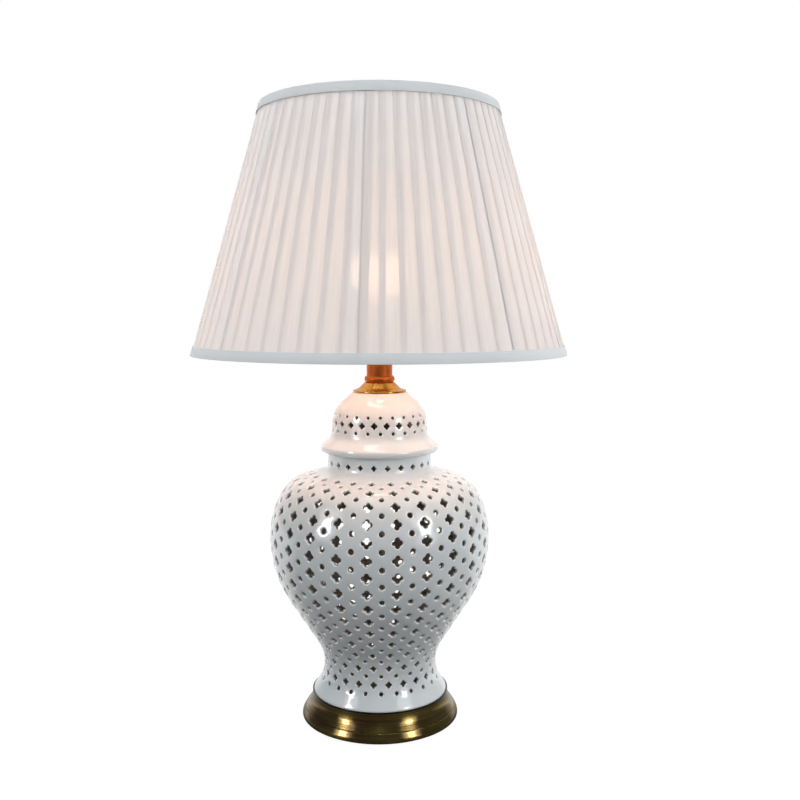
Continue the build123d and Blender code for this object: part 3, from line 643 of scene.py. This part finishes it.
    def piece(self, name):
        """The wall as one welded mesh, with its rims and depths marked for the glaze."""
        points = np.array(self.points, float)
        points[:, 0] %= COLUMNS
        points[:, 0][points[:, 0] > COLUMNS - SAME_POINT] = 0
        keys = np.round(points / WELD).astype(np.int64)
        keys, first, index = np.unique(keys, axis=0, return_index=True, return_inverse=True)
        index = index.reshape(-1)
        points = points[first]
        rims = np.zeros(len(keys))
        np.maximum.at(rims, index, np.array(self.rims, float))
        column, distance, depth = points.T
        near, far = [
            np.column_stack([np.interp(distance, self.distances, face[:, axis]) for axis in (0, 1)])
            for face in (self.outside, self.inside)
        ]
        radius, height = (near + (far - near) * depth[:, None]).T
        angle = column * 2 * math.pi / COLUMNS
        xyz = np.column_stack([radius * np.cos(angle), radius * np.sin(angle), height]) * MM
        made = piece(name, xyz, index[np.array(self.quads)])
        for mark, values in (("rim", rims), ("depth", depth)):
            attribute = made.data.attributes.new(mark, "FLOAT", "POINT")
            attribute.data.foreach_set("value", values.astype(np.float32))
        return made


def piece(name, points, faces, sharp=SHARP_EDGE):
    """A new object from points and faces, with its normals turned outward and smooth shading."""
    mesh = bpy.data.meshes.new(name)
    mesh.from_pydata([tuple(p) for p in points], [], [tuple(int(i) for i in f) for f in faces])
    work = bmesh.new()
    work.from_mesh(mesh)
    bmesh.ops.recalc_face_normals(work, faces=work.faces)
    work.to_mesh(mesh)
    work.free()
    mesh.shade_smooth()
    mesh.set_sharp_from_angle(angle=math.radians(sharp))
    made = bpy.data.objects.new(name, mesh)
    bpy.context.scene.collection.objects.link(made)
    return made


def turned_piece(name, section, steps, sway):
    """A closed section turned round the lamp's axis. sway moves its radius as it goes round."""
    section = np.array(section, float)
    size = len(section)
    points = []
    for step in range(steps):
        angle = 2 * math.pi * step / steps
        radius = section[:, 0] + sway(angle)
        ring = [radius * math.cos(angle), radius * math.sin(angle), section[:, 1]]
        points.append(np.column_stack(ring))
    faces = [
        (a * size + i, b * size + i, b * size + (i + 1) % size, a * size + (i + 1) % size)
        for a in range(steps)
        for b in [(a + 1) % steps]
        for i in range(size)
    ]
    return piece(name, np.concatenate(points) * MM, faces)


def lined(outside, distances, wall, plain_end, start):
    """The inside of a wall: square under the outside, but straight from start to plain_end."""
    inside = outside - wall * outward(outside)
    foot = distances < plain_end
    joined = inside[~foot][0]
    share = (distances[foot] - distances[0]) / (plain_end - distances[0])
    inside[foot] = np.array(start) + (joined - np.array(start)) * share[:, None]
    return inside


def between(distances, low, high):
    """The distances of an outline's own points from low to high, with both ends."""
    inner = distances[(distances > low + RING_ROOM) & (distances < high - RING_ROOM)]
    return [low, *inner, high]


def pierced_jar():
    """The baluster jar: a floor with the rod's hole, a pierced body and a pierced collar."""
    bottom = JAR_CORNERS[0][1]
    corners, radii = [(ROD_HOLE, bottom), *JAR_CORNERS], [JAR_FOOT_ROUND, *JAR_RADII]
    outside, distances = evened(rounded_outline(corners, radii), OUTLINE_STEP)
    top = evened(rounded_outline(JAR_CORNERS, JAR_RADII))[1][-1]
    distances = distances + top - distances[-1]
    floor_start = (ROD_HOLE, bottom + JAR_FLOOR)
    inside = lined(outside, distances, JAR_WALL, JAR_FLOOR_END, floor_start)
    wall = PiercedWall(distances, outside, inside, JAR_WALL, JAR_DOT)
    dotted_steps = 2 * (ARC_STEPS + EDGE_STEPS)
    plain_steps = ARC_STEPS + 2 * EDGE_STEPS
    foot = between(distances, distances[0], FIRST_DOTS - DOT_CLEARANCE)
    wall.plain(foot, dotted_steps, close_first=True, dotted=(FIRST_DOTS, -1))
    collar = top - COLLAR_ROW_BELOW_TOP
    collar_low, collar_high = collar - COLLAR_ROW_HALF, collar + COLLAR_ROW_HALF
    for column in range(COLUMNS):
        for row in range(ROWS):
            low = FIRST_DOTS + ROW_PITCH * row
            middle, high = low + ROW_PITCH / 2, low + ROW_PITCH
            wall.cell(column, low, middle, high, JAR_FOIL, (True, row < ROWS - 1))
        wall.cell(column, collar_low, collar, collar_high, COLLAR_FOIL, (False, False))
    shoulder = FIRST_DOTS + ROW_PITCH * ROWS
    wall.plain(between(distances, shoulder, collar_low), plain_steps)
    wall.plain(between(distances, collar_high, top), plain_steps, close_last=True)
    return wall.piece("pierced_jar")


def pierced_lid():
    """The lid: spigot and flange, a drum with quatrefoils between two rows of dots, and a dome."""
    outside, distances = evened(rounded_outline(LID_CORNERS, LID_RADII), OUTLINE_STEP)
    drum = np.argmax(outside[:, 1] > DRUM_FOOT)
    heights = [DRUM_FOOT, DRUM_DOTS_LOW, DRUM_FOILS, DRUM_DOTS_HIGH]
    joined, low, middle, high = np.interp(heights, outside[drum:, 1], distances[drum:])
    inside = lined(outside, distances, LID_WALL, joined, (SPIGOT_BORE, LID_CORNERS[0][1]))
    wall = PiercedWall(distances, outside, inside, LID_WALL, LID_DOT)
    steps = 2 * (ARC_STEPS + EDGE_STEPS)
    foot = between(distances, distances[0], low - DOT_CLEARANCE)
    wall.plain(foot, steps, close_first=True, dotted=(low, -1))
    for column in range(COLUMNS):
        wall.cell(column, low, middle, high, LID_FOIL, (True, True))
    dome = between(distances, high + DOT_CLEARANCE, distances[-1])
    wall.plain(dome, steps, close_last=True, dotted=(high, 1))
    return wall.piece("pierced_lid")


def fold_radius(height):
    """The radius of the shade's outer folds at a height."""
    return FOLD_BOTTOM + FOLD_SLOPE * (height - SHADE_BOTTOM)


def pleated_cloth():
    """Knife pleats: each face runs under the next and folds back to it, most at the narrow top."""
    draw = np.random.default_rng(CLOTH_SEED)
    rows = np.linspace(0, 1, CLOTH_ROWS + 1)
    drift = draw.normal(0, FOLD_DRIFT, (PLEATS, len(DRIFT_WAVES)))
    drift[::PLEATS_A_PANEL] *= SEAM_DRIFT
    waves = [np.ones_like(rows), rows, np.sin(math.pi * rows), np.sin(2 * math.pi * rows)]
    edges = drift @ (np.array(waves) * np.array(DRIFT_WAVES)[:, None])
    deeper = 1 + draw.normal(0, DEPTH_SPREAD, PLEATS)
    across, back = np.linspace(0, 1, FACE_STEPS + 1), np.array(BACK_POINTS)
    face_depth = FACE_START + FACE_FALL * across - FACE_BULGE * np.sin(math.pi * across)
    depths = np.r_[face_depth, BACK_START + BACK_FALL * back, NEXT_FOLD_DEPTH]
    loops = []
    for row, share in enumerate(rows):
        height = SHADE_BOTTOM + CLOTH_EDGE + share * (SHADE_TOP - SHADE_BOTTOM - 2 * CLOTH_EDGE)
        lap = LAP_BOTTOM + (LAP_TOP - LAP_BOTTOM) * share
        for pleat in range(PLEATS):
            start = pleat + edges[pleat, row]
            end = pleat + 1 + edges[(pleat + 1) % PLEATS, row]
            tuck = lap + (SEAM_LAP if (pleat + 1) % PLEATS_A_PANEL == 0 else 0)
            face = start + (end + tuck - start) * across
            x = np.r_[face, end + tuck * back, end - NEXT_FOLD]
            angle = np.radians(FIRST_SEAM + 360 * x / PLEATS)
            depth = depths * min(DEEPEST, deeper[pleat])
            radius = fold_radius(height) - CLOTH_INSET - PLEAT_DEPTH * depth
            level = np.full(len(radius), height)
            loops.append(np.column_stack([radius * np.cos(angle), radius * np.sin(angle), level]))
    size = PLEATS * len(depths)
    faces = [
        (low + i, low + (i + 1) % size, low + size + (i + 1) % size, low + size + i)
        for low in range(0, CLOTH_ROWS * size, size)
        for i in range(size)
    ]
    return piece("pleated_cloth", np.concatenate(loops) * MM, faces, CLOTH_SHARP_EDGE)


def edge_tape(name, edge, inward):
    """A tape folded over one edge of the shade, with the pleats faintly showing through it."""
    end, lip = edge + inward * TRIM_HEIGHT, edge + inward * TRIM_LIP
    middle = (edge + end) / 2
    corners = [
        (fold_radius(middle) + TRIM_OUT, middle),
        (fold_radius(end) + TRIM_OUT, end),
        (fold_radius(end) + TRIM_ROOM, end),
        (fold_radius(lip) + TRIM_ROOM, lip),
        (fold_radius(edge) - TRIM_IN, lip),
        (fold_radius(edge) - TRIM_IN, edge),
        (fold_radius(edge) + TRIM_OUT, edge),
        (fold_radius(middle) + TRIM_OUT, middle),
    ]
    radii = [TRIM_ROUND, TRIM_ROUND, TRIM_INNER_ROUND, TRIM_ROUND, TRIM_ROUND, TRIM_ROUND]
    section = rounded_outline(corners, radii, TRIM_ARC_STEP)[:-1]

    def sway(angle):
        return -TRIM_SWAY * (1 + math.sin(PLEATS * angle))

    return turned_piece(name, section, TRIM_POINTS_A_PLEAT * PLEATS, sway)


def dress(names, material):
    """Gives CAD nodes a new material."""
    for name in names:
        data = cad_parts[name].data
        data.materials.clear()
        data.materials.append(material)


def set_piece(made, material, body, slot, *nodes):
    """Finishes a new piece: its material, the body it rides on and the nodes it stands for."""
    made.data.materials.append(material)
    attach(made, body)
    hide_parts(*nodes)
    return made


def numbered(stem, count):
    """The names of nodes that are numbered from 1."""
    return [f"{stem}_{i + 1}" for i in range(count)]


def studio():
    """A floor and a world that are seen white but light the lamp little, with lamps and camera."""
    scene = bpy.context.scene
    world = scene.world or bpy.data.worlds.new("studio")
    scene.world = world
    world.use_nodes = True
    tree = world.node_tree
    tree.nodes.clear()
    room, white = [tree.nodes.new("ShaderNodeBackground") for _ in range(2)]
    room.inputs["Color"].default_value = ROOM
    white.inputs["Color"].default_value = WHITE
    mix, out = tree.nodes.new("ShaderNodeMixShader"), tree.nodes.new("ShaderNodeOutputWorld")
    seen = white_share(tree, backdrop(tree))
    for i, socket in enumerate((seen, room.outputs[0], white.outputs[0])):
        tree.links.new(socket, mix.inputs[i])
    tree.links.new(mix.outputs[0], out.inputs["Surface"])
    pale_floor()
    for name, place, size, watts, mirrored in LAMPS:
        lamp = soft_lamp(name, place, size, watts)
        if not mirrored:
            lamp.visible_camera = lamp.visible_glossy = False
    glow = bpy.data.lights["bulb_glow"]
    glow.shape, glow.color = "DISK", GLOW_COLOUR
    camera = bpy.data.objects.new("camera", bpy.data.cameras.new("camera"))
    camera.data.sensor_width, camera.data.lens = SENSOR_WIDTH, LENS
    camera.location = CAMERA_PLACE
    camera.rotation_euler = (math.radians(90 - CAMERA_DOWN), 0, math.radians(CAMERA_LEFT))
    scene.collection.objects.link(camera)
    scene.camera = camera
    scene.view_settings.view_transform = "Standard"


def backdrop(tree):
    """1 towards the white backdrop behind the lamp and 0 towards the room in front of it."""
    place, split = tree.nodes.new("ShaderNodeTexCoord"), tree.nodes.new("ShaderNodeSeparateXYZ")
    fade = tree.nodes.new("ShaderNodeMapRange")
    fade.inputs["From Min"].default_value, fade.inputs["From Max"].default_value = BACKDROP
    tree.links.new(place.outputs["Generated"], split.inputs[0])
    tree.links.new(split.outputs["Y"], fade.inputs["Value"])
    return fade.outputs[0]


def white_share(tree, mirrored):
    """How white a surface of the studio shows.

    1 where it is seen or shows through glass, mirrored where metal or glaze shows it, and 0 where
    it only lights.
    """
    path = tree.nodes.new("ShaderNodeLightPath")

    def combined(operation, first, second):
        made = tree.nodes.new("ShaderNodeMath")
        made.operation = operation
        tree.links.new(first, made.inputs[0])
        tree.links.new(second, made.inputs[1])
        return made.outputs[0]

    shown = combined("MAXIMUM", path.outputs["Is Camera Ray"], path.outputs["Is Transmission Ray"])
    return combined("MAXIMUM", shown, combined("MULTIPLY", path.outputs["Is Glossy Ray"], mirrored))


def pale_floor():
    """A floor seen nearly white, a little darker near the lamp, that gives back little light."""
    bpy.ops.mesh.primitive_plane_add(size=FLOOR_SIZE)
    floor = bpy.context.object
    floor.name = "floor"
    finish = Finish("pale_floor", Roughness=0.9, Emission_Strength=1.0)
    _, depth, _ = finish.axes()
    _, distance, _ = finish.polar()
    near = 1 - distance.fade(*FLOOR_NEAR)
    white = Wire(finish, white_share(finish.tree, depth.fade(*FLOOR_MIRRORED).socket))
    finish.feed(
        Base_Color=finish.mix(near, FAR_GREY, NEAR_GREY),
        Emission_Color=finish.mix(white * (1 - FLOOR_SHADE * near), (0, 0, 0), (1, 1, 1)),
    )
    floor.data.materials.append(finish.material)


def soft_lamp(name, place, size, watts):
    """A white area lamp that points at the lid."""
    data = bpy.data.lights.new(name, "AREA")
    data.shape, data.energy = "RECTANGLE", watts
    data.size, data.size_y = size
    lamp = bpy.data.objects.new(name, data)
    lamp.location = place
    aim = Vector(LAMP_AIM) - lamp.location
    lamp.rotation_euler = aim.to_track_quat("-Z", "Y").to_euler()
    bpy.context.scene.collection.objects.link(lamp)
    return lamp


glaze = glaze_finish()
tape = tape_finish()
set_piece(pierced_jar(), glaze, "lamp", "glaze", "jar")
set_piece(pierced_lid(), glaze, "lamp", "glaze", "lid")
cloth = set_piece(pleated_cloth(), pleated_cloth_finish(), "shade", "pleated_cloth", "shade_cloth")
bottom_tape = edge_tape("bottom_tape", SHADE_BOTTOM, 1)
top_tape = edge_tape("top_tape", SHADE_TOP, -1)
tapes = [
    set_piece(bottom_tape, tape, "shade", "trim_tape", "shade_bottom_trim"),
    set_piece(top_tape, tape, "shade", "trim_tape", "shade_top_trim"),
]

antique_brass = spun_metal_finish(
    "antique_brass",
    (0.10, 0.053, 0.018),
    (0.33, 0.245, 0.062),
    roughness=0.16,
    grain=0.85,
    lacquer=0.4,
    painted_shadow=LIP_SHADOW_HEIGHTS,
)
dress(["base_shell"], antique_brass)
# The cap's orange is partly the brass's own colour and partly the bulb's warm light painted into
# it.
dress(
    ["vase_cap"],
    spun_metal_finish("gold_brass", (0.70, 0.30, 0.045), (0.90, 0.46, 0.105), roughness=0.22),
)
dress(
    ["neck_tube", "neck_bead"],
    spun_metal_finish(
        "copper_brass", (0.56, 0.125, 0.022), (0.80, 0.21, 0.05), roughness=0.4, grain=0.3
    ),
)
dress(
    ["screw_shell", "centre_contact", "terminal_screws"],
    spun_metal_finish("contact_brass", (0.45, 0.30, 0.11), (0.72, 0.55, 0.26), roughness=0.3),
)
dress(
    ["threaded_rod", "rod_washer", "base_nut", "neck_nut"],
    spun_metal_finish("zinc_steel", (0.38, 0.38, 0.37), (0.62, 0.62, 0.60), roughness=0.3),
)
dress(
    ["bulb_cap", "bulb_contact"],
    spun_metal_finish("bulb_aluminium", (0.55, 0.55, 0.54), (0.78, 0.78, 0.76), roughness=0.25),
)
dress(
    ["bulb_filament"],
    spun_metal_finish("tungsten_wire", (0.16, 0.155, 0.15), (0.32, 0.31, 0.30), roughness=0.35),
)
dress(["base_weight"], cast_finish())
dress(["base_felt"], felt_finish())
dress(
    ["cord_bush", "jar_gasket"],
    moulded_finish("black_rubber", (0.018, 0.018, 0.018), (0.04, 0.04, 0.04), roughness=0.55),
)
dress(
    ["holder_cap", "holder_shell", "switch_bar", "shade_ring_lower", "shade_ring_upper"],
    moulded_finish("ivory_plastic", (0.68, 0.65, 0.57), (0.77, 0.75, 0.68), roughness=0.34),
)
dress(
    ["holder_insert"],
    moulded_finish("porcelain", (0.70, 0.69, 0.66), (0.80, 0.79, 0.77), roughness=0.4, grain=400.0),
)
dress(
    ["bulb_insulator"],
    moulded_finish(
        "black_glass", (0.01, 0.01, 0.012), (0.03, 0.03, 0.032), roughness=0.1, grain=200.0
    ),
)
frame_wires = ["fitter_ring", "shade_bottom_ring", "shade_top_ring"]
frame_wires += numbered("shade_rib", RIBS) + numbered("fitter_arm", FITTER_ARMS)
dress(
    frame_wires,
    moulded_finish(
        "white_coated_wire", (0.72, 0.72, 0.70), (0.80, 0.80, 0.78), roughness=0.35, grain=500.0
    ),
)
dress(["bulb_glass"], lit_bulb_finish())
dress(["bulb_stem"], clear_glass_finish())

studio()
